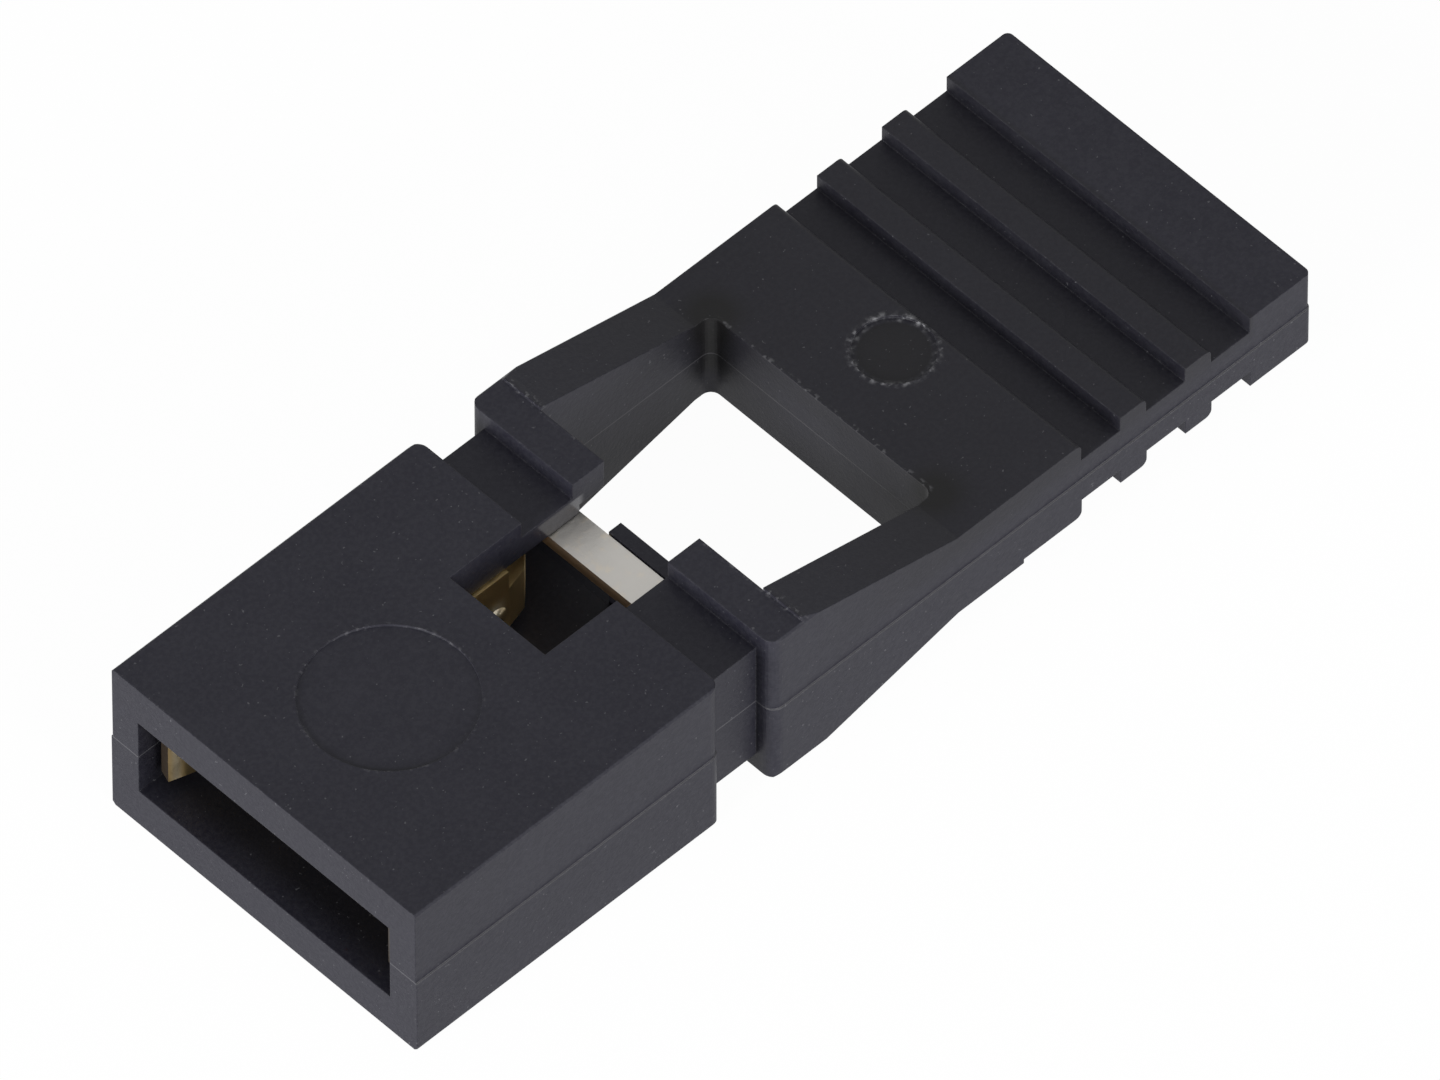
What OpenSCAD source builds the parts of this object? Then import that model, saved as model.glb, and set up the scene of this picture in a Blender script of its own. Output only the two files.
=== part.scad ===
// Long-handled jumper shunt: a moulded housing over one stamped contact that
// bridges two header pins. Millimetres, +Z up, mouth towards -X, handle towards
// +X. The origin is the middle of the footprint, on the surface it lies on.

/* [Header pins] */
// Distance between the two pins that the shunt bridges
pin_pitch = 2.54; // [2.50:0.01:2.60]
// Side of a square header pin
pin_side = 0.64; // [0.60:0.01:0.66]
// How much narrower than the pin each spring gap is
pin_squeeze = 0.10; // [0.04:0.01:0.16]

/* [Socket body] */
// Width of the housing
housing_w = 5.00; // [4.96:0.01:5.20]
// Thickness of the socket body
housing_t = 2.45; // [2.40:0.01:2.60]
// Length of the socket body, from the mouth to the neck
body_l = 4.80; // [4.70:0.05:5.20]
// Wall beside the contact cavity
side_wall = 0.44; // [0.40:0.01:0.45]
// Wall above and below the contact cavity
face_wall = 0.60; // [0.50:0.01:0.62]
// Radius of the upright corners beside the neck
corner_r = 0.16; // [0.08:0.01:0.20]
// Bevel along the long outer edges
edge_bevel = 0.045; // [0.02:0.005:0.08]
// Step at the parting plane, where the lower mould half is wider
parting_step = 0.02; // [0.01:0.005:0.03]

/* [Test slot] */
// Distance from the mouth to the slot in the upper wall
slot_start = 3.67; // [3.40:0.01:4.00]
// Width of the slot
slot_w = 1.56; // [1.30:0.01:1.60]

/* [Neck] */
// Length of the neck between the body and the shoulder
neck_l = 0.80; // [0.60:0.01:0.90]
// Depth of the neck groove in each side
neck_side = 0.28; // [0.20:0.01:0.30]
// Depth of the neck groove above and below
neck_face = 0.26; // [0.15:0.01:0.30]

/* [Shoulder and rails] */
// Length of the full-section shoulder band behind the neck
shoulder_l = 0.50; // [0.42:0.01:0.70]
// Height of the crest where the rails begin to taper
crest_h = 0.04; // [0.02:0.01:0.06]
// Length over which the rails taper down to the handle plate
wedge_l = 2.44; // [2.00:0.01:3.00]
// Width of each rail beside the window
rail_w = 0.68; // [0.60:0.01:0.80]
// How far the window runs into the handle plate
window_over = 0.26; // [0.10:0.01:0.40]
// Radius in the far corners of the window
window_r = 0.14; // [0.08:0.01:0.25]
// Thickness of the shoulder lip above and below the window's throat
lip_t = 0.45; // [0.40:0.01:0.48]
// Length of the ledge that stops the contact, at the back of the cavity
ledge_l = 0.34; // [0.28:0.01:0.36]

/* [Contact stop] */
// Length of the moulded stop behind the contact bridge
stop_l = 0.19; // [0.15:0.01:0.24]
// How far the stop reaches past the middle of the slot
stop_reach = 0.35; // [0.20:0.01:0.50]

/* [Handle plate] */
// Thickness of the handle plate
plate_t = 1.27; // [1.20:0.01:1.40]
// Length of the handle plate, from the rails to the first groove
plate_l = 1.96; // [1.80:0.01:2.60]
// Extra thickness under the front of the plate
plate_pad = 0.07; // [0.04:0.01:0.10]
// Length of that thicker front part
plate_pad_l = 1.04; // [0.80:0.01:1.30]

/* [Grip] */
// Number of ribs in front of the end bar
rib_count = 2; // [1:1:4]
// Length of each rib
rib_l = 0.415; // [0.35:0.005:0.60]
// Length of each groove
groove_l = 0.62; // [0.50:0.01:0.80]
// Thickness of the handle across the ribs
rib_t = 1.155; // [1.00:0.005:1.20]
// Thickness left between the grooves
groove_t = 0.70; // [0.60:0.01:0.80]
// Length of the end bar
end_bar_l = 0.98; // [0.80:0.01:1.40]
// Thickness of the end bar
end_bar_t = 1.205; // [1.10:0.005:1.25]
// Radius on the trailing edge of the plate and of each rib
rib_r = 0.09; // [0.04:0.01:0.14]

/* [Mould marks] */
// Distance from the mouth to the middle of the round mark on the body
body_mark_x = 1.97; // [1.60:0.01:2.20]
// Radius of the round mark on the body
body_mark_r = 1.06; // [0.60:0.01:1.20]
// Depth of the round mark on the body
body_mark_d = 0.025; // [0.01:0.005:0.05]
// Distance from the first groove back to the middle of the gate mark
gate_mark_back = 0.56; // [0.54:0.01:0.80]
// Radius of the gate mark
gate_mark_r = 0.50; // [0.30:0.01:0.52]
// Depth of the gate mark
gate_mark_d = 0.04; // [0.02:0.01:0.08]

/* [Contact] */
// Thickness of the contact's sheet
sheet_t = 0.18; // [0.15:0.01:0.20]
// Clearance between the contact and the cavity
contact_gap = 0.02; // [0.01:0.005:0.03]
// Length of the bridge across the two clips
bridge_l = 0.51; // [0.40:0.01:0.55]
// Length of the side wing that carries each clip, in front of the bridge
wing_l = 1.32; // [1.10:0.01:1.50]
// Width of the wing, inside its bend
wing_w = 0.29; // [0.20:0.01:0.32]
// Inner radius of the bend from the wing to the outer arm
fold_r = 0.10; // [0.08:0.01:0.14]
// Clearance under the spring arms
arm_floor_gap = 0.21; // [0.10:0.01:0.40]
// How far the loop behind the pins stays below the wing's bend
loop_drop = 0.04; // [0.02:0.01:0.20]
// Distance from the mouth to the tips of the outer arms
outer_tip_x = 0.25; // [0.15:0.01:0.60]
// Distance from the mouth to the tips of the inner arms
inner_tip_x = 0.95; // [0.90:0.01:1.20]
// Distance from the mouth to where the arms pinch the pin
pinch_x = 1.70; // [1.50:0.01:2.10]
// How far the outer tips stop short of the cavity's side when they flare back
outer_tip_gap = 0.06; // [0.00:0.01:0.15]
// How far the inner tips flare from the pinch
inner_flare = 0.16; // [0.05:0.01:0.20]

/* [Hidden] */

// Stations along the length, measured from the mouth
neck_x = body_l;
shoulder_x = neck_x + neck_l;
crest_x = shoulder_x + shoulder_l;
plate_x = crest_x + wedge_l;
grip_x = plate_x + plate_l;
rib_pitch = groove_l + rib_l;
end_bar_x = grip_x + rib_count * rib_pitch + groove_l;
overall_l = end_bar_x + end_bar_l;
cavity_l = crest_x - ledge_l;
window_end_x = plate_x + window_over;
gate_mark_x = grip_x - gate_mark_back;

// Heights and half widths
mid_z = housing_t / 2;
cavity_w = housing_w - 2 * side_wall;
cavity_top_z = housing_t - face_wall;
window_w = housing_w - 2 * rail_w;
neck_half_w = housing_w / 2 - neck_side;
taper_drop = mid_z + crest_h - plate_t / 2;
flat_end_x = crest_x + wedge_l * crest_h / taper_drop;

// Contact: the sheet's middle line
sheet_half = sheet_t / 2;
bend_r = fold_r + sheet_half;
bridge_z = cavity_top_z - contact_gap - sheet_half;
wall_y = cavity_w / 2 - contact_gap - sheet_half;
bridge_x1 = cavity_l - contact_gap;
bridge_x0 = bridge_x1 - bridge_l;
wing_x0 = bridge_x0 - wing_l;
wing_y0 = wall_y - bend_r - wing_w;
fold_z = bridge_z - bend_r;
pinch_half = (pin_side - pin_squeeze) / 2 + sheet_half;
outer_pinch_y = pin_pitch / 2 + pinch_half;
outer_flare = wall_y - outer_pinch_y - outer_tip_gap;
inner_pinch_y = pin_pitch / 2 - pinch_half;
inner_y = inner_pinch_y - inner_flare / 2;
loop_r = (wall_y - inner_y) / 2;
loop_y = (wall_y + inner_y) / 2;
loop_x = bridge_x0 - contact_gap - sheet_half - loop_r;
arm_z1 = bridge_z + sheet_half - contact_gap;
arm_z0 = face_wall + arm_floor_gap;
loop_z1 = fold_z - loop_drop;
straight_end_x = (pinch_x + wing_x0) / 2 + (wing_x0 - pinch_x) / 4;

// Facets of the small curves, and how far a cutter runs past a face
arc_steps = 6;
bow_steps = 8;
past = 0.5;

// Points on an arc about c, from angle a0 to angle a1
function arc(c, r, a0, a1) =
    [for (i = [0 : arc_steps]) let (a = a0 + (a1 - a0) * i / arc_steps) c + r * [cos(a), sin(a)]];

// Points of a path with its order turned round
function reversed(path) = [for (i = [len(path) - 1 : -1 : 0]) path[i]];

// Unit vector square to the segment from p to q, on its left
function left_of(p, q) = [p[1] - q[1], q[0] - p[0]] / norm(q - p);

// Mitred normal of a path at point i
function path_normal(path, i) =
    let (last = len(path) - 1,
         before = left_of(path[max(i - 1, 0)], path[max(i, 1)]),
         after = left_of(path[min(i, last - 1)], path[min(i + 1, last)]),
         both = before + after)
    2 * both / (both * both);

// Outline of a bent strip of sheet whose middle line is the path
function strip(path, t) = concat(
    [for (i = [0 : len(path) - 1]) path[i] + path_normal(path, i) * t / 2],
    reversed([for (i = [0 : len(path) - 1]) path[i] - path_normal(path, i) * t / 2]));

// A smooth step from 0 to 1
function ease(s) = s * s * (3 - 2 * s);

// Middle line of one spring arm, from its root past the pinch to its flared tip
function arm_path(root_x, root_y, pinch_y, tip_x, flare) = concat(
    [[root_x, root_y]],
    [for (i = [0 : bow_steps]) let (s = i / bow_steps)
        [straight_end_x + (pinch_x - straight_end_x) * s, root_y + (pinch_y - root_y) * ease(s)]],
    [for (i = [1 : arc_steps]) let (s = i / arc_steps)
        [pinch_x + (tip_x - pinch_x) * s, pinch_y + flare * s * s]]);

// One face of the ribbed grip, as heights from the middle plane
function grip_edge() = concat(
    [for (i = [0 : rib_count])
        let (x = grip_x + i * rib_pitch,
             before = (i == 0 ? plate_t : rib_t) / 2,
             after = (i == rib_count ? end_bar_t : rib_t) / 2)
        each concat(
            arc([x - rib_r, before - rib_r], rib_r, 90, 0),
            [[x, groove_t / 2], [x + groove_l, groove_t / 2], [x + groove_l, after]])],
    [[overall_l, end_bar_t / 2]]);

// Upper edge of the side view, from the mouth to the end bar
function upper_edge() = concat(
    [[0, housing_t], [neck_x, housing_t], [neck_x, housing_t - neck_face],
     [shoulder_x, housing_t - neck_face], [shoulder_x, housing_t], [crest_x, housing_t],
     [crest_x, housing_t + crest_h], [plate_x, mid_z + plate_t / 2]],
    [for (p = grip_edge()) [p[0], mid_z + p[1]]]);

// Lower edge of the side view, from the mouth to the end bar
function lower_edge() = concat(
    [[0, 0], [neck_x, 0], [neck_x, neck_face], [shoulder_x, neck_face], [shoulder_x, 0],
     [flat_end_x, 0], [plate_x, mid_z - plate_t / 2 - plate_pad],
     [plate_x + plate_pad_l, mid_z - plate_t / 2 - plate_pad],
     [plate_x + plate_pad_l, mid_z - plate_t / 2]],
    [for (p = grip_edge()) [p[0], mid_z - p[1]]]);

// One side of the plan, at half width h, with the neck and its rounded corners
function plan_side(h) = concat(
    [[0, h]],
    arc([neck_x - corner_r, h - corner_r], corner_r, 90, 0),
    [[neck_x, neck_half_w], [shoulder_x, neck_half_w]],
    arc([shoulder_x + corner_r, h - corner_r], corner_r, 180, 90),
    arc([overall_l - corner_r / 2, h - corner_r / 2], corner_r / 2, 90, 0));

// Whole plan, at half width h
module plan(h) {
    polygon(concat(plan_side(h), reversed([for (p = plan_side(h)) [p[0], -p[1]]])));
}

// Side view drawn across the width
module across_width(w) {
    translate([0, w / 2, 0]) rotate([90, 0, 0]) linear_extrude(w) children();
}

// A section in width and height, drawn along the length from x0 to x1
module along_length(x0, x1) {
    translate([x0, 0, 0]) rotate([90, 0, 90]) linear_extrude(x1 - x0) children();
}

// Outer form of the housing, with the parting step and the long bevels
module housing_form() {
    intersection() {
        across_width(housing_w + 2 * past) polygon(concat(upper_edge(), reversed(lower_edge())));
        union() {
            translate([0, 0, -past]) linear_extrude(mid_z + past) plan(housing_w / 2);
            translate([0, 0, mid_z - past / 2]) linear_extrude(mid_z + past)
                plan(housing_w / 2 - parting_step);
        }
        along_length(-past, overall_l + past) translate([0, mid_z]) rotate(45)
            square((housing_w / 2 + mid_z - edge_bevel) * sqrt(2), center = true);
    }
}

// Room for the contact, and the throat that opens it into the window
module cavity() {
    translate([-past, -cavity_w / 2, face_wall])
        cube([cavity_l + past, cavity_w, housing_t - 2 * face_wall]);
    translate([cavity_l - past / 10, -window_w / 2, lip_t])
        cube([crest_x - cavity_l + past, window_w, housing_t - 2 * lip_t]);
}

// Slot over the bridge, open into the window
module slot() {
    translate([slot_start, -slot_w / 2, mid_z])
        cube([crest_x + past - slot_start, slot_w, housing_t]);
}

// Window between the rails, with round far corners
module window() {
    half = window_w / 2;
    translate([0, 0, -past]) linear_extrude(housing_t + 2 * past) polygon(concat(
        [[crest_x, half]],
        arc([window_end_x - window_r, half - window_r], window_r, 90, 0),
        arc([window_end_x - window_r, window_r - half], window_r, 0, -90),
        [[crest_x, -half]]));
}

// Moulded stop that stands behind one half of the bridge
module contact_stop() {
    translate([cavity_l, -slot_w / 2 - lip_t / 4, lip_t / 2])
        cube([stop_l, slot_w / 2 + lip_t / 4 + stop_reach, cavity_top_z - lip_t / 2]);
}

// Shallow round marks left by the mould
module mould_marks() {
    translate([body_mark_x, 0, housing_t - body_mark_d])
        cylinder(r = body_mark_r, h = past, $fn = 96);
    translate([gate_mark_x, 0, mid_z + plate_t / 2 - gate_mark_d])
        cylinder(r = gate_mark_r, h = past, $fn = 72);
}

module housing() {
    color([0.17, 0.17, 0.19]) translate([-overall_l / 2, 0, 0]) {
        difference() {
            housing_form();
            cavity();
            slot();
            window();
            mould_marks();
        }
        contact_stop();
    }
}

// Folded section of the sheet, from half width y0 out to the turned-down edge
module folded_sheet(y0) {
    polygon(strip(concat(
        [[y0, bridge_z]],
        arc([wall_y - bend_r, fold_z], bend_r, 90, 0),
        [[wall_y, fold_z - sheet_half]]), sheet_t));
}

// Spring arm or loop, drawn up from z0 to z1
module upright_strip(path, z0, z1) {
    translate([0, 0, z0]) linear_extrude(z1 - z0) polygon(strip(path, sheet_t));
}

// One clip: the wing, the outer arm, the loop round the pin's end and the inner arm
module clip() {
    along_length(wing_x0, bridge_x1) folded_sheet(wing_y0);
    upright_strip(arm_path(loop_x, wall_y, outer_pinch_y, outer_tip_x, outer_flare), arm_z0, fold_z);
    difference() {
        upright_strip(arm_path(loop_x, wall_y, outer_pinch_y, outer_tip_x, outer_flare),
                      arm_z0, arm_z1);
        translate([wing_x0, 0, fold_z]) cube([overall_l, housing_w, housing_t]);
    }
    upright_strip(concat(
        [[loop_x - sheet_t, wall_y]],
        arc([loop_x, loop_y], loop_r, 90, -90),
        [[loop_x - sheet_t, inner_y]]), arm_z0, loop_z1);
    upright_strip(arm_path(loop_x, inner_y, inner_pinch_y, inner_tip_x, -inner_flare),
                  arm_z0, arm_z1);
}

module contact_clip() {
    color([0.80, 0.72, 0.52]) translate([-overall_l / 2, 0, 0]) {
        along_length(bridge_x0, bridge_x1) {
            folded_sheet(0);
            mirror([1, 0]) folded_sheet(0);
        }
        clip();
        mirror([0, 1, 0]) clip();
    }
}

housing();
contact_clip();
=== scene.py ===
"""Looks of a long-handled jumper shunt: its black moulded housing and its plated contact."""

import logging
import math
from dataclasses import dataclass, field
from enum import Enum
from typing import Any, Dict, Optional, Sequence, Tuple

import bmesh
import bpy
from mathutils import Matrix, Vector

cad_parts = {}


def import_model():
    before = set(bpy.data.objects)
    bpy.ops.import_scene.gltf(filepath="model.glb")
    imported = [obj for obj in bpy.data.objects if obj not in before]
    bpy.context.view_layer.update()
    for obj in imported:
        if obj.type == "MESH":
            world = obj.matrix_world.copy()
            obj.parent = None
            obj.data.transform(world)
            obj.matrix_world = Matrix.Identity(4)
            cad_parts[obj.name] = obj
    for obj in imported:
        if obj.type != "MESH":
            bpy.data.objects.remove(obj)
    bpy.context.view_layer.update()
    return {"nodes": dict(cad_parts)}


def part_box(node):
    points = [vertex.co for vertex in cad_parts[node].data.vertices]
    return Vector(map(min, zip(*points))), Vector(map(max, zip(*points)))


MM = 0.001
Colour = Tuple[float, float, float]
Span = Tuple[float, float]
WHITE: Colour = (1.0, 1.0, 1.0)
log = logging.getLogger("jumper_shunt")


class Ray(Enum):
    """A kind of ray that sees the studio as plain white."""

    CAMERA = "Is Camera Ray"
    GLOSSY = "Is Glossy Ray"
    CLEAR = "Is Transmission Ray"


class Sock:
    """A number that flows through a material, with arithmetic that adds Math nodes."""

    def __init__(self, tree: "Tree", socket: bpy.types.NodeSocket) -> None:
        """Wrap an output socket of the tree."""
        self.tree = tree
        self.socket = socket

    def _math(self, operation: str, *values: Any) -> "Sock":
        """Add one Math node.

        Args:
            operation: The node's operation.
            values: Its inputs, as numbers or wrapped sockets.

        Returns:
            The node's result.
        """
        inputs = {index: value for index, value in enumerate(values)}
        return self.tree.add("ShaderNodeMath", {"operation": operation}, inputs)

    def __add__(self, other: Any) -> "Sock":
        """Sum."""
        return self._math("ADD", self, other)

    def __radd__(self, other: Any) -> "Sock":
        """Sum, from the right."""
        return self._math("ADD", other, self)

    def __sub__(self, other: Any) -> "Sock":
        """Difference."""
        return self._math("SUBTRACT", self, other)

    def __rsub__(self, other: Any) -> "Sock":
        """Difference, from the right."""
        return self._math("SUBTRACT", other, self)

    def __mul__(self, other: Any) -> "Sock":
        """Product."""
        return self._math("MULTIPLY", self, other)

    def __rmul__(self, other: Any) -> "Sock":
        """Product, from the right."""
        return self._math("MULTIPLY", other, self)

    def __truediv__(self, other: Any) -> "Sock":
        """Quotient."""
        return self._math("DIVIDE", self, other)

    def __neg__(self) -> "Sock":
        """Negative."""
        return self * -1.0

    def __abs__(self) -> "Sock":
        """Absolute value."""
        return self._math("ABSOLUTE", self)

    def sqrt(self) -> "Sock":
        """Square root."""
        return self._math("SQRT", self)

    def larger(self, other: Any) -> "Sock":
        """The larger of two values."""
        return self._math("MAXIMUM", self, other)

    def smaller(self, other: Any) -> "Sock":
        """The smaller of two values."""
        return self._math("MINIMUM", self, other)

    def clamp(self) -> "Sock":
        """The value held between 0 and 1."""
        return self.larger(0.0).smaller(1.0)

    def ramp(self, low: float, high: float) -> "Sock":
        """A smooth step.

        Args:
            low: The value that gives 0.
            high: The value that gives 1.

        Returns:
            A smooth value between 0 and 1.
        """
        share = ((self - low) / (high - low)).clamp()
        return share * share * (3.0 - 2.0 * share)

    def near(self, centre: float, reach: float) -> "Sock":
        """A soft band.

        Args:
            centre: The value at which the band is 1.
            reach: The distance at which it has faded to 0.

        Returns:
            A smooth value between 0 and 1.
        """
        return 1.0 - abs(self - centre).ramp(0.0, reach)

    def rise(self, station: float, span: Span) -> "Sock":
        """A smooth step up about a station.

        Args:
            station: The value that the span is counted from.
            span: The offsets that give 0 and 1.

        Returns:
            A smooth value between 0 and 1.
        """
        return self.ramp(station + span[0], station + span[1])

    def fall(self, station: float, span: Span) -> "Sock":
        """A smooth step down about a station.

        Args:
            station: The value that the span is counted from.
            span: The offsets that give 1 and 0.

        Returns:
            A smooth value between 0 and 1.
        """
        return 1.0 - self.rise(station, span)


@dataclass(frozen=True)
class Cloud:
    """One noise: the size of its clouds in millimetres, its finer layers and how strong they are."""

    size: float
    detail: float
    rough: float


class Tree:
    """The nodes of one material or of the world."""

    def __init__(self, owner: Any) -> None:
        """Empty the owner's node tree.

        Args:
            owner: The material or the world.
        """
        owner.use_nodes = True
        self.nodes = owner.node_tree.nodes
        self.links = owner.node_tree.links
        self.nodes.clear()

    def add(
        self,
        kind: str,
        settings: Optional[Dict[str, Any]] = None,
        inputs: Optional[Dict[Any, Any]] = None,
        output: Any = 0,
    ) -> Sock:
        """Add a node.

        Args:
            kind: The node's type.
            settings: Its properties, which are set first.
            inputs: Its sockets by name or number, as values, colours or wrapped sockets.
            output: The socket to hand back, by name or number.

        Returns:
            The wanted output.
        """
        node = self.nodes.new(kind)
        for name, value in (settings or {}).items():
            setattr(node, name, value)
        for name, value in (inputs or {}).items():
            socket = node.inputs[name]
            if isinstance(value, Sock):
                self.links.new(value.socket, socket)
            elif isinstance(value, tuple) and len(value) == 3 and len(socket.default_value) == 4:
                socket.default_value = (*value, 1.0)
            else:
                socket.default_value = value
        return Sock(self, node.outputs[output] if len(node.outputs) else None)

    def place(self) -> Tuple[Sock, Sock, Sock, Sock]:
        """Where a point lies on the piece.

        Returns:
            Its position, then its three coordinates in millimetres.
        """
        position = self.add("ShaderNodeTexCoord", output="Object")
        scaled = self.add(
            "ShaderNodeVectorMath", {"operation": "SCALE"}, {0: position, "Scale": 1.0 / MM}
        )
        split = {axis: self.add("ShaderNodeSeparateXYZ", inputs={0: scaled}, output=axis) for axis in "XYZ"}
        return scaled, split["X"], split["Y"], split["Z"]

    def noise(self, position: Sock, cloud: Cloud) -> Sock:
        """Cloudy noise.

        Args:
            position: Where it is read, in millimetres.
            cloud: Its size and its detail.

        Returns:
            A value about 0.5.
        """
        inputs = {
            "Vector": position,
            "Scale": 1.0 / cloud.size,
            "Detail": cloud.detail,
            "Roughness": cloud.rough,
        }
        return self.add("ShaderNodeTexNoise", inputs=inputs)

    def mix(self, share: Any, first: Any, second: Any) -> Sock:
        """Blend two colours.

        Args:
            share: How much of the second colour there is.
            first: The first colour.
            second: The second colour.

        Returns:
            The blended colour.
        """
        node = self.nodes.new("ShaderNodeMix")
        node.data_type = "RGBA"
        for index, value in ((0, share), (6, first), (7, second)):
            socket = node.inputs[index]
            if isinstance(value, Sock):
                self.links.new(value.socket, socket)
            else:
                socket.default_value = (*value, 1.0) if isinstance(value, tuple) else value
        return Sock(self, node.outputs[2])

    def bump(self, height: Sock, depth: float, strength: float, normal: Optional[Sock] = None) -> Sock:
        """Relief on the surface.

        Args:
            height: The relief, from 0 to 1.
            depth: Its full depth in millimetres.
            strength: How strongly it shows.
            normal: A normal to start from.

        Returns:
            The new normal.
        """
        inputs: Dict[Any, Any] = {"Height": height, "Distance": depth * MM, "Strength": strength}
        if normal is not None:
            inputs["Normal"] = normal
        return self.add("ShaderNodeBump", inputs=inputs)

    def finish(self, shader: Sock, kind: str = "ShaderNodeOutputMaterial") -> None:
        """Send a shader to the output.

        Args:
            shader: The finished shader.
            kind: The type of the output node.
        """
        self.add(kind, inputs={"Surface": shader})


@dataclass(frozen=True)
class MouldedPlastic:
    """Black moulded plastic with a fine spark-eroded grain and pale specks on its edges.

    Lengths are in millimetres. A span is the two values between which a mask rises.
    """

    colour: Colour = (0.0085, 0.0082, 0.0135)
    # Paler tone for the random mottle, and also the painted highlight along the edges.
    dusty_and_edge_highlight: Colour = (0.0190, 0.0188, 0.0250)
    speck: Colour = (0.16, 0.16, 0.17)
    # The colour of the painted shade in the cavity, on the handle's top and in the window's far corners; the
    # gate face is darkened towards it too.
    unlit: Colour = (0.0030, 0.0028, 0.0032)
    # Painted light along the parting line, to hide the dark line that its small step shades.
    seam_painted_light: Colour = (0.064, 0.063, 0.069)
    roughness: float = 0.50
    cloud_roughness: float = 0.16
    grain_roughness: float = 0.10
    specular: float = 0.20
    polish_roughness: float = 0.16
    edge_radius: float = 0.022
    edge_samples: int = 6
    edge_span: Span = (0.01, 0.22)

    grain: Cloud = Cloud(0.060, 4.0, 0.65)
    grain_span: Span = (0.36, 0.66)
    grain_share: float = 0.55
    grain_depth: float = 0.006
    grain_strength: float = 0.70
    cloud: Cloud = Cloud(0.9, 3.0, 0.6)
    cloud_span: Span = (0.35, 0.75)
    cloud_share: float = 0.25
    # How much painted highlight the edges get.
    edge_highlight_share: float = 0.10

    crumbs: Cloud = Cloud(0.075, 2.0, 0.5)
    crumb_span: Span = (0.54, 0.70)
    crumb_span_at_gate: Span = (0.40, 0.62)
    strays: Cloud = Cloud(0.045, 1.0, 0.4)
    stray_span: Span = (0.74, 0.80)
    stray_share: float = 0.30
    speck_on_edges: float = 0.16
    speck_on_marks: float = 0.55
    speck_at_gate: float = 0.26

    body_ring_share: float = 0.35
    rim_share: float = 0.70
    mark_depth: float = 0.010
    mark_strength: float = 0.50
    # How strong the painted shade inside the cavity is, and how much it fades under the slot.
    cavity_shade: float = 0.80
    cavity_lit: float = 0.70
    gate_shade: float = 0.40
    # How strong the painted shade on the handle's top is.
    handle_shade: float = 0.40
    seam_share: float = 0.90


@dataclass(frozen=True)
class PlatedSheet:
    """Thin stamped sheet, bright plated on its faces and brassy inside the springs."""

    plating: Colour = (0.47, 0.455, 0.43)
    brass: Colour = (0.98, 0.72, 0.34)
    # The dull colour of the bare cut edges, darkened further as painted shade on the faces towards the mouth.
    dull_and_shaded: Colour = (0.150, 0.098, 0.066)
    # Painted shade behind the spring tip and on the tip's front edge.
    shade_at_tip: Colour = (0.020, 0.014, 0.009)
    # Painted highlight: the bright strip on the spring tip at the mouth and the glint on the inner arm.
    bright: Colour = (0.95, 0.88, 0.70)
    roughness: float = 0.38
    face_roughness: float = 0.10
    streak_roughness: float = 0.14
    streaks: Cloud = Cloud(0.20, 4.0, 0.6)
    streak_span: Span = (0.5, 0.9)
    streak_share: float = 0.25
    streak_depth: float = 0.012
    streak_strength: float = 0.60
    # How strong the painted highlight on the spring tip is.
    mouth_share: float = 0.60
    cut_edge_span: Span = (0.75, 0.95)
    cut_edge_share: float = 0.95
    cut_edge_unmetal: float = 0.85
    glint_unmetal: float = 0.50
    tip_shade: float = 0.70


@dataclass
class Stations:
    """Where the housing's features lie, in millimetres in the part's frame."""

    low: Vector
    high: Vector
    body_length: float = 4.80
    neck_length: float = 0.80
    shoulder_length: float = 0.50
    wedge_length: float = 2.44
    plate_length: float = 1.96
    end_bar_length: float = 0.98
    body_mark_from_mouth: float = 1.97
    body_mark_radius: float = 1.06
    gate_mark_from_grip: float = 0.56
    gate_mark_radius: float = 0.50
    body_thickness: float = 2.45
    face_wall: float = 0.60
    cavity_width: float = 4.12
    slot_from_mouth: float = 3.67
    slot_width: float = 1.56
    window_width: float = 3.64
    window_into_plate: float = 0.26
    plate_thickness: float = 1.27

    @property
    def mouth(self) -> float:
        """The socket's open end."""
        return self.low.x / MM

    @property
    def slot(self) -> float:
        """The front of the slot."""
        return self.mouth + self.slot_from_mouth

    @property
    def neck(self) -> float:
        """The front of the neck."""
        return self.mouth + self.body_length

    @property
    def shoulder(self) -> float:
        """The front of the shoulder."""
        return self.neck + self.neck_length

    @property
    def crest(self) -> float:
        """The crest where the rails start."""
        return self.shoulder + self.shoulder_length

    @property
    def plate(self) -> float:
        """The front of the handle plate."""
        return self.crest + self.wedge_length

    @property
    def grip(self) -> float:
        """The first groove of the grip."""
        return self.plate + self.plate_length

    @property
    def window_end(self) -> float:
        """The far wall of the window."""
        return self.plate + self.window_into_plate

    @property
    def end_bar(self) -> float:
        """The front of the end bar."""
        return self.high.x / MM - self.end_bar_length

    @property
    def middle_height(self) -> float:
        """The height of the parting plane."""
        return self.body_thickness / 2

    @property
    def cavity_top(self) -> float:
        """The height of the cavity's ceiling."""
        return self.body_thickness - self.face_wall

    @property
    def plate_top(self) -> float:
        """The height of the handle plate's upper face."""
        return self.middle_height + self.plate_thickness / 2

    @property
    def body_mark(self) -> float:
        """The middle of the round mark on the body."""
        return self.mouth + self.body_mark_from_mouth

    @property
    def gate_mark(self) -> float:
        """The middle of the gate mark."""
        return self.grip - self.gate_mark_from_grip


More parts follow.
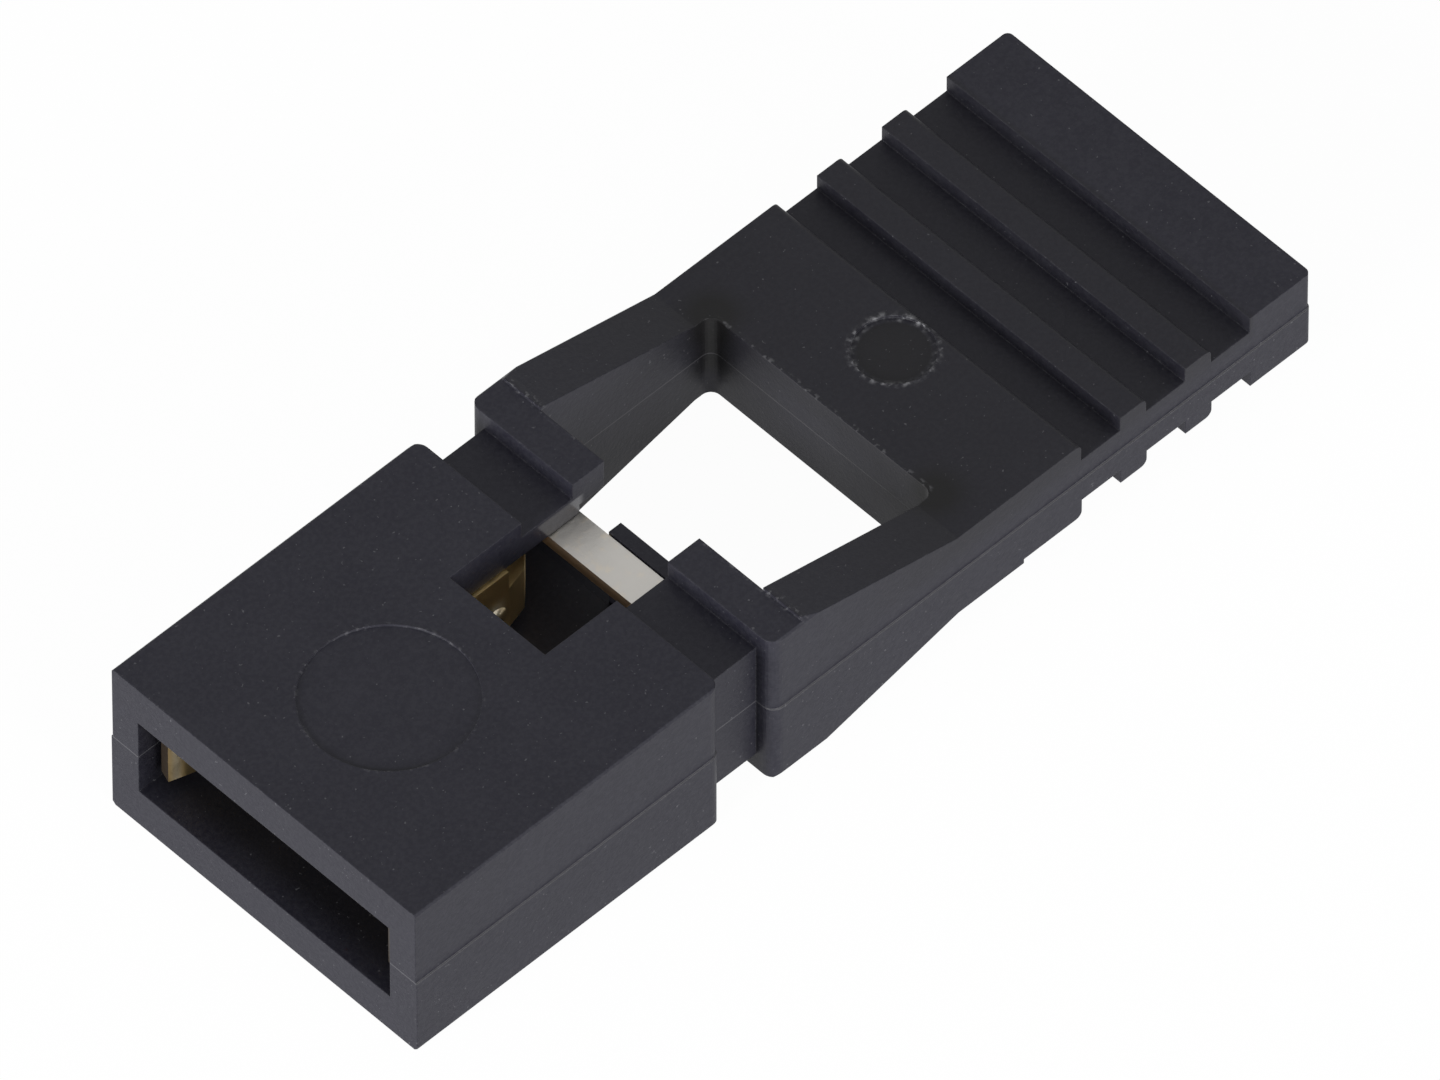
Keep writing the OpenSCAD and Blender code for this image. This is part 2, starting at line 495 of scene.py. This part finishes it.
@dataclass(frozen=True)
class Reaches:
    """How far the housing's masks reach from its stations, in millimetres.

    A span is a pair of offsets from a station, between which a mask rises or falls.
    """

    past_wall: Span = (0.005, 0.020)
    into_mouth: Span = (0.02, 0.50)
    before_crest: Span = (-0.35, -0.30)
    into_slot: Span = (-0.60, 0.10)
    corner: float = 0.55
    corner_height: Span = (0.75, 1.05)
    corner_below_plate_top: float = 0.03
    corner_below_body_top: float = 0.50
    slot_side: float = 0.03
    above_cavity: Span = (0.0, 0.02)
    below_body_top: Span = (-0.32, -0.28)
    before_neck: Span = (-0.10, 0.0)
    past_shoulder: Span = (0.10, 0.20)
    upper_half: Span = (0.10, 0.50)
    at_top: Span = (-0.03, 0.0)
    crest_from_station: float = 0.03
    crest: float = 0.09
    body_ring: float = 0.05
    gate_ring: float = 0.09
    gate_face_inset: float = 0.04
    disc_fade: float = 0.05
    seam: float = 0.014
    rim_from_window: float = 0.02
    rim: float = 0.05
    rim_end: Span = (-0.10, 0.0)
    into_plate: float = 0.30
    into_end_bar: Span = (0.0, 0.10)


@dataclass
class Housing:
    """The moulded housing."""

    node: bpy.types.Object
    stations: Stations
    plastic: MouldedPlastic = field(default_factory=MouldedPlastic)
    reach: Reaches = field(default_factory=Reaches)

    def _from(self, x: Sock, y: Sock, centre: float) -> Sock:
        """The distance in plan from a point on the part's centre line.

        Args:
            x: The first coordinate, in millimetres.
            y: The second coordinate, in millimetres.
            centre: Where the point lies along the part.

        Returns:
            The distance in millimetres.
        """
        along = x - centre
        return (along * along + y * y).sqrt()

    def _cavity_painted_shade(self, x: Sock, y: Sock, z: Sock) -> Sock:
        """Painted shade on the inner faces of the contact's cavity, fading where light comes in.

        Args:
            x: The first coordinate, in millimetres.
            y: The second coordinate, in millimetres.
            z: The height, in millimetres.

        Returns:
            A mask from 0 to 1.
        """
        at, reach = self.stations, self.reach
        near_wall, past_wall = reach.past_wall
        across = abs(y).fall(at.cavity_width / 2, reach.past_wall)
        above_floor = z.rise(at.face_wall, (-past_wall, -near_wall))
        below_ceiling = z.fall(at.cavity_top, reach.past_wall)
        depth = x.rise(at.mouth, reach.into_mouth) * x.fall(at.crest, reach.before_crest)
        lit = x.rise(at.slot, reach.into_slot) * self.plastic.cavity_lit
        return across * above_floor * below_ceiling * depth * (1.0 - lit)

    def _window_corner_shade(self, x: Sock, y: Sock, z: Sock) -> Sock:
        """Painted shade in the far corners of the window.

        Args:
            x: The first coordinate, in millimetres.
            y: The second coordinate, in millimetres.
            z: The height, in millimetres.

        Returns:
            A mask from 0 to 1.
        """
        at, reach = self.stations, self.reach
        along = x.near(at.window_end, reach.corner)
        across = abs(y).near(at.window_width / 2, reach.corner)
        plate_edge = at.plate_top - reach.corner_below_plate_top
        body_edge = at.body_thickness - reach.corner_below_body_top
        below_top = 1.0 - z.ramp(plate_edge, body_edge)
        return along * across * z.ramp(*reach.corner_height) * below_top

    def _slot_walls(self, x: Sock, y: Sock, z: Sock) -> Sock:
        """The polished side walls of the slot over the bridge.

        Args:
            x: The first coordinate, in millimetres.
            y: The second coordinate, in millimetres.
            z: The height, in millimetres.

        Returns:
            A mask from 0 to 1.
        """
        at, reach = self.stations, self.reach
        side = abs(y).near(at.slot_width / 2, reach.slot_side)
        above = z.rise(at.cavity_top, reach.above_cavity)
        below_edge = z.fall(at.body_thickness, reach.below_body_top)
        along = x.rise(at.neck, reach.before_neck) * x.fall(at.shoulder, reach.past_shoulder)
        return side * above * below_edge * along

    def _window_rim(self, x: Sock, y: Sock, z: Sock) -> Sock:
        """The worn edge of the window on the handle plate.

        Args:
            x: The first coordinate, in millimetres.
            y: The second coordinate, in millimetres.
            z: The height, in millimetres.

        Returns:
            A mask from 0 to 1.
        """
        at, reach = self.stations, self.reach
        along = x.near(at.window_end + reach.rim_from_window, reach.rim)
        return along * z.rise(at.plate_top, reach.at_top) * abs(y).fall(at.window_width / 2, reach.rim_end)

    def _edges(self, tree: Tree, rounded: Sock) -> Sock:
        """Where the rounded normal turns away from the flat one.

        Args:
            tree: The material's nodes.
            rounded: The normal with its edges rounded.

        Returns:
            A mask from 0 to 1.
        """
        flat = tree.add("ShaderNodeNewGeometry", output="True Normal")
        agree = tree.add("ShaderNodeVectorMath", {"operation": "DOT_PRODUCT"}, {0: rounded, 1: flat}, "Value")
        return (1.0 - agree).ramp(*self.plastic.edge_span)

    def material(self) -> bpy.types.Material:
        """Make the housing's plastic.

        Returns:
            The finished material.
        """
        material = bpy.data.materials.new("housing_moulded_plastic")
        tree = Tree(material)
        spot, x, y, z = tree.place()
        at, cast, reach = self.stations, self.plastic, self.reach
        grain = tree.noise(spot, cast.grain)
        cloud = tree.noise(spot, cast.cloud)
        crumbs = tree.noise(spot, cast.crumbs)
        bevel = {"Radius": cast.edge_radius * MM}
        rounded = tree.add("ShaderNodeBevel", {"samples": cast.edge_samples}, bevel)
        edge = self._edges(tree, rounded)

        upper = z.rise(at.middle_height, reach.upper_half)
        crest_line = x.near(at.crest + reach.crest_from_station, reach.crest)
        crest = crest_line * z.rise(at.body_thickness, reach.at_top)
        from_gate = self._from(x, y, at.gate_mark)
        body_ring = self._from(x, y, at.body_mark).near(at.body_mark_radius, reach.body_ring) * upper
        gate_ring = from_gate.near(at.gate_mark_radius, reach.gate_ring) * upper
        rim = self._window_rim(x, y, z) * cast.rim_share
        marks = (body_ring * cast.body_ring_share + gate_ring + crest + rim).clamp()

        pale = crumbs.ramp(*cast.crumb_span) * (edge * cast.speck_on_edges + marks * cast.speck_on_marks)
        pale = (pale + crumbs.ramp(*cast.crumb_span_at_gate) * gate_ring * cast.speck_at_gate).clamp()
        strays = tree.noise(spot, cast.strays).ramp(*cast.stray_span) * cast.stray_share

        mottle = grain.ramp(*cast.grain_span) * cast.grain_share
        mottle = mottle + cloud.ramp(*cast.cloud_span) * cast.cloud_share
        # Mottle of the grain and clouds, plus a painted highlight along the edges.
        base = tree.mix((mottle + edge * cast.edge_highlight_share).clamp(), cast.colour, cast.dusty_and_edge_highlight)
        gate_edge = at.gate_mark_radius - reach.gate_face_inset
        gate_face = (1.0 - from_gate.ramp(gate_edge - reach.disc_fade, gate_edge)) * upper
        # Painted shade on the top of the handle, from the crest to the end bar.
        along_handle = x.ramp(at.crest, at.plate + reach.into_plate)
        handle = along_handle * x.fall(at.end_bar, reach.into_end_bar) * upper
        # Painted shade inside the cavity; the gate face is darkened too.
        shade = self._cavity_painted_shade(x, y, z) * cast.cavity_shade + gate_face * cast.gate_shade
        # Adds the painted shade on the handle's top and in the window's far corners.
        shade = shade + handle * cast.handle_shade + self._window_corner_shade(x, y, z)
        base = tree.mix(shade.clamp(), base, cast.unlit)
        # Painted light along the parting line, lightening the dark line that the step shades.
        base = tree.mix(z.near(at.middle_height, reach.seam) * cast.seam_share, base, cast.seam_painted_light)
        colour = tree.mix((pale + strays).clamp(), base, cast.speck)

        roughness = cast.roughness + (cloud - 0.5) * cast.cloud_roughness
        roughness = roughness + (grain - 0.5) * cast.grain_roughness
        relief = tree.bump(grain, cast.grain_depth, cast.grain_strength, rounded)
        relief = tree.bump(marks, cast.mark_depth, cast.mark_strength, relief)
        shader = tree.add(
            "ShaderNodeBsdfPrincipled",
            inputs={
                "Base Color": colour,
                "Roughness": roughness,
                "Specular IOR Level": cast.specular,
                "Coat Weight": self._slot_walls(x, y, z),
                "Coat Roughness": cast.polish_roughness,
                "Normal": relief,
            },
        )
        tree.finish(shader)
        return material

    def dress(self) -> None:
        """Give the node its plastic."""
        material = self.material()
        for slot in self.node.material_slots:
            slot.material = material
        log.info("%s: moulded plastic", self.node.name)


@dataclass
class ContactClip:
    """The stamped contact, with its bridge and its sprung arms. Lengths are in millimetres."""

    node: bpy.types.Object
    sheet: PlatedSheet = field(default_factory=PlatedSheet)
    bridge_length: float = 0.51
    below_top: Span = (-0.05, -0.01)
    before_bridge: Span = (-0.020, -0.005)
    mouth_from_tip: float = 0.10
    mouth_reach: float = 0.10
    glint_from_tip: float = 4.12
    glint_length: float = 0.22
    glint_height: float = 1.24
    glint_rise: float = 0.26
    dimple_height: float = 1.10
    dimple_radius: float = 0.19
    dimple_depth: float = 0.20
    arm_face: float = 0.75
    arm_reach: float = 0.12
    past_tip: Span = (0.14, 0.24)
    before_arm: Span = (1.4, 2.2)
    tip_edge: Span = (0.2, 0.3)

    def material(self) -> bpy.types.Material:
        """Make the contact's plated sheet.

        Returns:
            The finished material.
        """
        material = bpy.data.materials.new("contact_plated_sheet")
        tree = Tree(material)
        spot, x, y, z = tree.place()
        low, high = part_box(self.node.name)
        sheet, tip = self.sheet, low.x / MM
        streaks = tree.noise(spot, sheet.streaks)
        upper = z.rise(high.z / MM, self.below_top)
        face = upper * x.rise(high.x / MM - self.bridge_length, self.before_bridge)
        tip_highlight = x.near(tip + self.mouth_from_tip, self.mouth_reach) * sheet.mouth_share
        glint_x = tip + self.glint_from_tip
        on_arm = abs(y).near(self.arm_face, self.arm_reach)
        glint = x.near(glint_x, self.glint_length) * z.near(self.glint_height, self.glint_rise) * on_arm
        along, rise = (x - glint_x) / self.dimple_radius, (z - self.dimple_height) / self.dimple_radius
        dimple = (1.0 - along * along - rise * rise).clamp() * on_arm

        tint = tree.mix(face, sheet.brass, sheet.plating)
        streaked = tree.mix(streaks.ramp(*sheet.streak_span) * sheet.streak_share, tint, sheet.brass)
        # Painted highlights: a bright strip on the spring tip at the mouth and a glint on the inner arm.
        streaked = tree.mix((tip_highlight + glint).clamp(), streaked, sheet.bright)
        facing = tree.add("ShaderNodeNewGeometry", output="Normal")
        forward = tree.add("ShaderNodeSeparateXYZ", inputs={0: facing}, output="X")
        # Faces towards the mouth: the bare cut edges' own dull colour, darkened further as painted shade.
        cut_edge_and_shade = (-forward).ramp(*sheet.cut_edge_span)
        colour = tree.mix(cut_edge_and_shade * sheet.cut_edge_share, streaked, sheet.dull_and_shaded)
        # Painted shade in the throat behind the spring tip and on the tip's front edge.
        shade_behind_tip = x.rise(tip, self.past_tip) * x.fall(tip, self.before_arm) * sheet.tip_shade
        tip_edge = cut_edge_and_shade * x.fall(tip, self.tip_edge)
        colour = tree.mix((shade_behind_tip + tip_edge).clamp(), colour, sheet.shade_at_tip)

        metallic = (1.0 - cut_edge_and_shade * sheet.cut_edge_unmetal - glint * sheet.glint_unmetal).clamp()
        roughness = sheet.roughness + face * sheet.face_roughness + (streaks - 0.5) * sheet.streak_roughness
        relief = tree.bump(streaks, sheet.streak_depth, sheet.streak_strength)
        shader = tree.add(
            "ShaderNodeBsdfPrincipled",
            inputs={
                "Base Color": colour,
                "Metallic": metallic,
                "Roughness": roughness,
                "Normal": tree.bump(dimple, self.dimple_depth, 1.0, relief),
            },
        )
        tree.finish(shader)
        return material

    def dress(self) -> None:
        """Give the node its plated finish."""
        material = self.material()
        for slot in self.node.material_slots:
            slot.material = material
        log.info("%s: plated sheet", self.node.name)


@dataclass(frozen=True)
class Lamp:
    """A square soft panel: its place round the part in degrees, its watts, and its size in metres."""

    name: str
    azimuth: float
    power: float
    elevation: float = 14.0
    size: float = 0.16
    distance: float = 0.40


@dataclass
class Studio:
    """The pale floor, the soft light and the camera. Lengths are in metres."""

    low: Vector
    floor_size: float = 0.60
    floor_gap: float = 0.02 * MM
    floor_colour: Colour = (0.86, 0.86, 0.87)
    sky: float = 0.30
    azimuth: float = -44.04
    elevation: float = 51.32
    distance: float = 0.50
    frame_width: float = 16.39 * MM
    sensor_width: float = 36.0
    clip: Span = (0.01, 10.0)
    aim_from_mouth: float = 7.0 * MM
    aim_height: float = 1.25 * MM
    aim_right: float = 0.129 * MM
    aim_up: float = -0.196 * MM
    shadow_share: float = 0.03
    lamps: Tuple[Lamp, ...] = (
        Lamp("mouth_side_panel", azimuth=-85.0, power=2.9),
        Lamp("near_side_panel", azimuth=-3.0, power=1.9),
    )

    def _seen(self, tree: Tree) -> Sock:
        """Whether a ray comes from the camera, a gloss or a clear piece.

        Args:
            tree: The nodes to add to.

        Returns:
            A mask of 0 or 1.
        """
        camera, glossy, clear = (tree.add("ShaderNodeLightPath", output=ray.value) for ray in Ray)
        return (camera + glossy + clear).clamp()

    def _away(self, azimuth: float, elevation: float) -> Vector:
        """The direction from the part towards a viewer.

        Args:
            azimuth: How far the viewer is round the part, in degrees.
            elevation: How high the viewer is, in degrees.

        Returns:
            A direction of length 1.
        """
        turn, rise = math.radians(azimuth), math.radians(elevation)
        return Vector((math.sin(turn) * math.cos(rise), -math.cos(turn) * math.cos(rise), math.sin(rise)))

    def _looking(self, away: Vector, place: Vector) -> Matrix:
        """The pose of a thing at a place that looks back along a direction.

        Args:
            away: The direction from the part towards the thing.
            place: Where the thing stands.

        Returns:
            The pose.
        """
        right = Vector((0.0, 0.0, 1.0)).cross(away).normalized()
        up = away.cross(right)
        turn = Matrix((right, up, away)).transposed().to_4x4()
        return Matrix.Translation(place) @ turn

    def build_floor(self) -> None:
        """Lay the floor just under the part."""
        mesh = bmesh.new()
        bmesh.ops.create_grid(mesh, x_segments=1, y_segments=1, size=self.floor_size / 2)
        bmesh.ops.translate(mesh, verts=mesh.verts, vec=(0.0, 0.0, self.low.z - self.floor_gap))
        data = bpy.data.meshes.new("studio_floor")
        mesh.to_mesh(data)
        mesh.free()
        floor = bpy.data.objects.new("studio_floor", data)
        bpy.context.scene.collection.objects.link(floor)
        material = bpy.data.materials.new("studio_floor_pale")
        tree = Tree(material)
        matt = tree.add("ShaderNodeBsdfDiffuse", inputs={"Color": self.floor_colour})
        white = tree.add("ShaderNodeEmission", inputs={"Color": WHITE, "Strength": 1.0})
        share = self._seen(tree) * (1.0 - self.shadow_share)
        tree.finish(tree.add("ShaderNodeMixShader", inputs={0: share, 1: matt, 2: white}))
        data.materials.append(material)

    def build_sky(self) -> None:
        """Fill the world with even light that is seen as white."""
        world = bpy.data.worlds.new("studio_sky")
        bpy.context.scene.world = world
        tree = Tree(world)
        strength = self.sky + self._seen(tree) * (1.0 - self.sky)
        light = tree.add("ShaderNodeBackground", inputs={"Color": WHITE, "Strength": strength})
        tree.finish(light, "ShaderNodeOutputWorld")

    def build_lamp(self, lamp: Lamp) -> None:
        """Hang one soft lamp.

        Args:
            lamp: Its name, place, size and power.
        """
        data = bpy.data.lights.new(lamp.name, "AREA")
        data.shape = "SQUARE"
        data.size = lamp.size
        data.energy = lamp.power
        panel = bpy.data.objects.new(lamp.name, data)
        bpy.context.scene.collection.objects.link(panel)
        away = self._away(lamp.azimuth, lamp.elevation)
        panel.matrix_world = self._looking(away, away * lamp.distance)

    def build_camera(self) -> None:
        """Set up the long lens."""
        data = bpy.data.cameras.new("camera")
        data.sensor_width = self.sensor_width
        data.lens = self.sensor_width * self.distance / self.frame_width
        data.clip_start, data.clip_end = self.clip
        camera = bpy.data.objects.new("camera", data)
        bpy.context.scene.collection.objects.link(camera)
        away = self._away(self.azimuth, self.elevation)
        pose = self._looking(away, Vector())
        aim = Vector((self.low.x + self.aim_from_mouth, 0.0, self.low.z + self.aim_height))
        aim += pose.to_3x3() @ Vector((self.aim_right, self.aim_up, 0.0))
        camera.matrix_world = self._looking(away, aim + away * self.distance)
        bpy.context.scene.camera = camera

    def build(self) -> None:
        """Set up the whole studio."""
        self.build_camera()
        self.build_floor()
        self.build_sky()
        for lamp in self.lamps:
            self.build_lamp(lamp)
        bpy.context.scene.view_settings.view_transform = "Standard"
        log.info("studio: camera, floor, sky and lamps")


def main() -> None:
    """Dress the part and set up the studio."""
    logging.basicConfig(level=logging.INFO)
    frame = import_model()
    low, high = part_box("housing")
    Studio(low).build()
    Housing(frame["nodes"]["housing"], Stations(low, high)).dress()
    ContactClip(frame["nodes"]["contact_clip"]).dress()


if __name__ == "__main__":
    main()
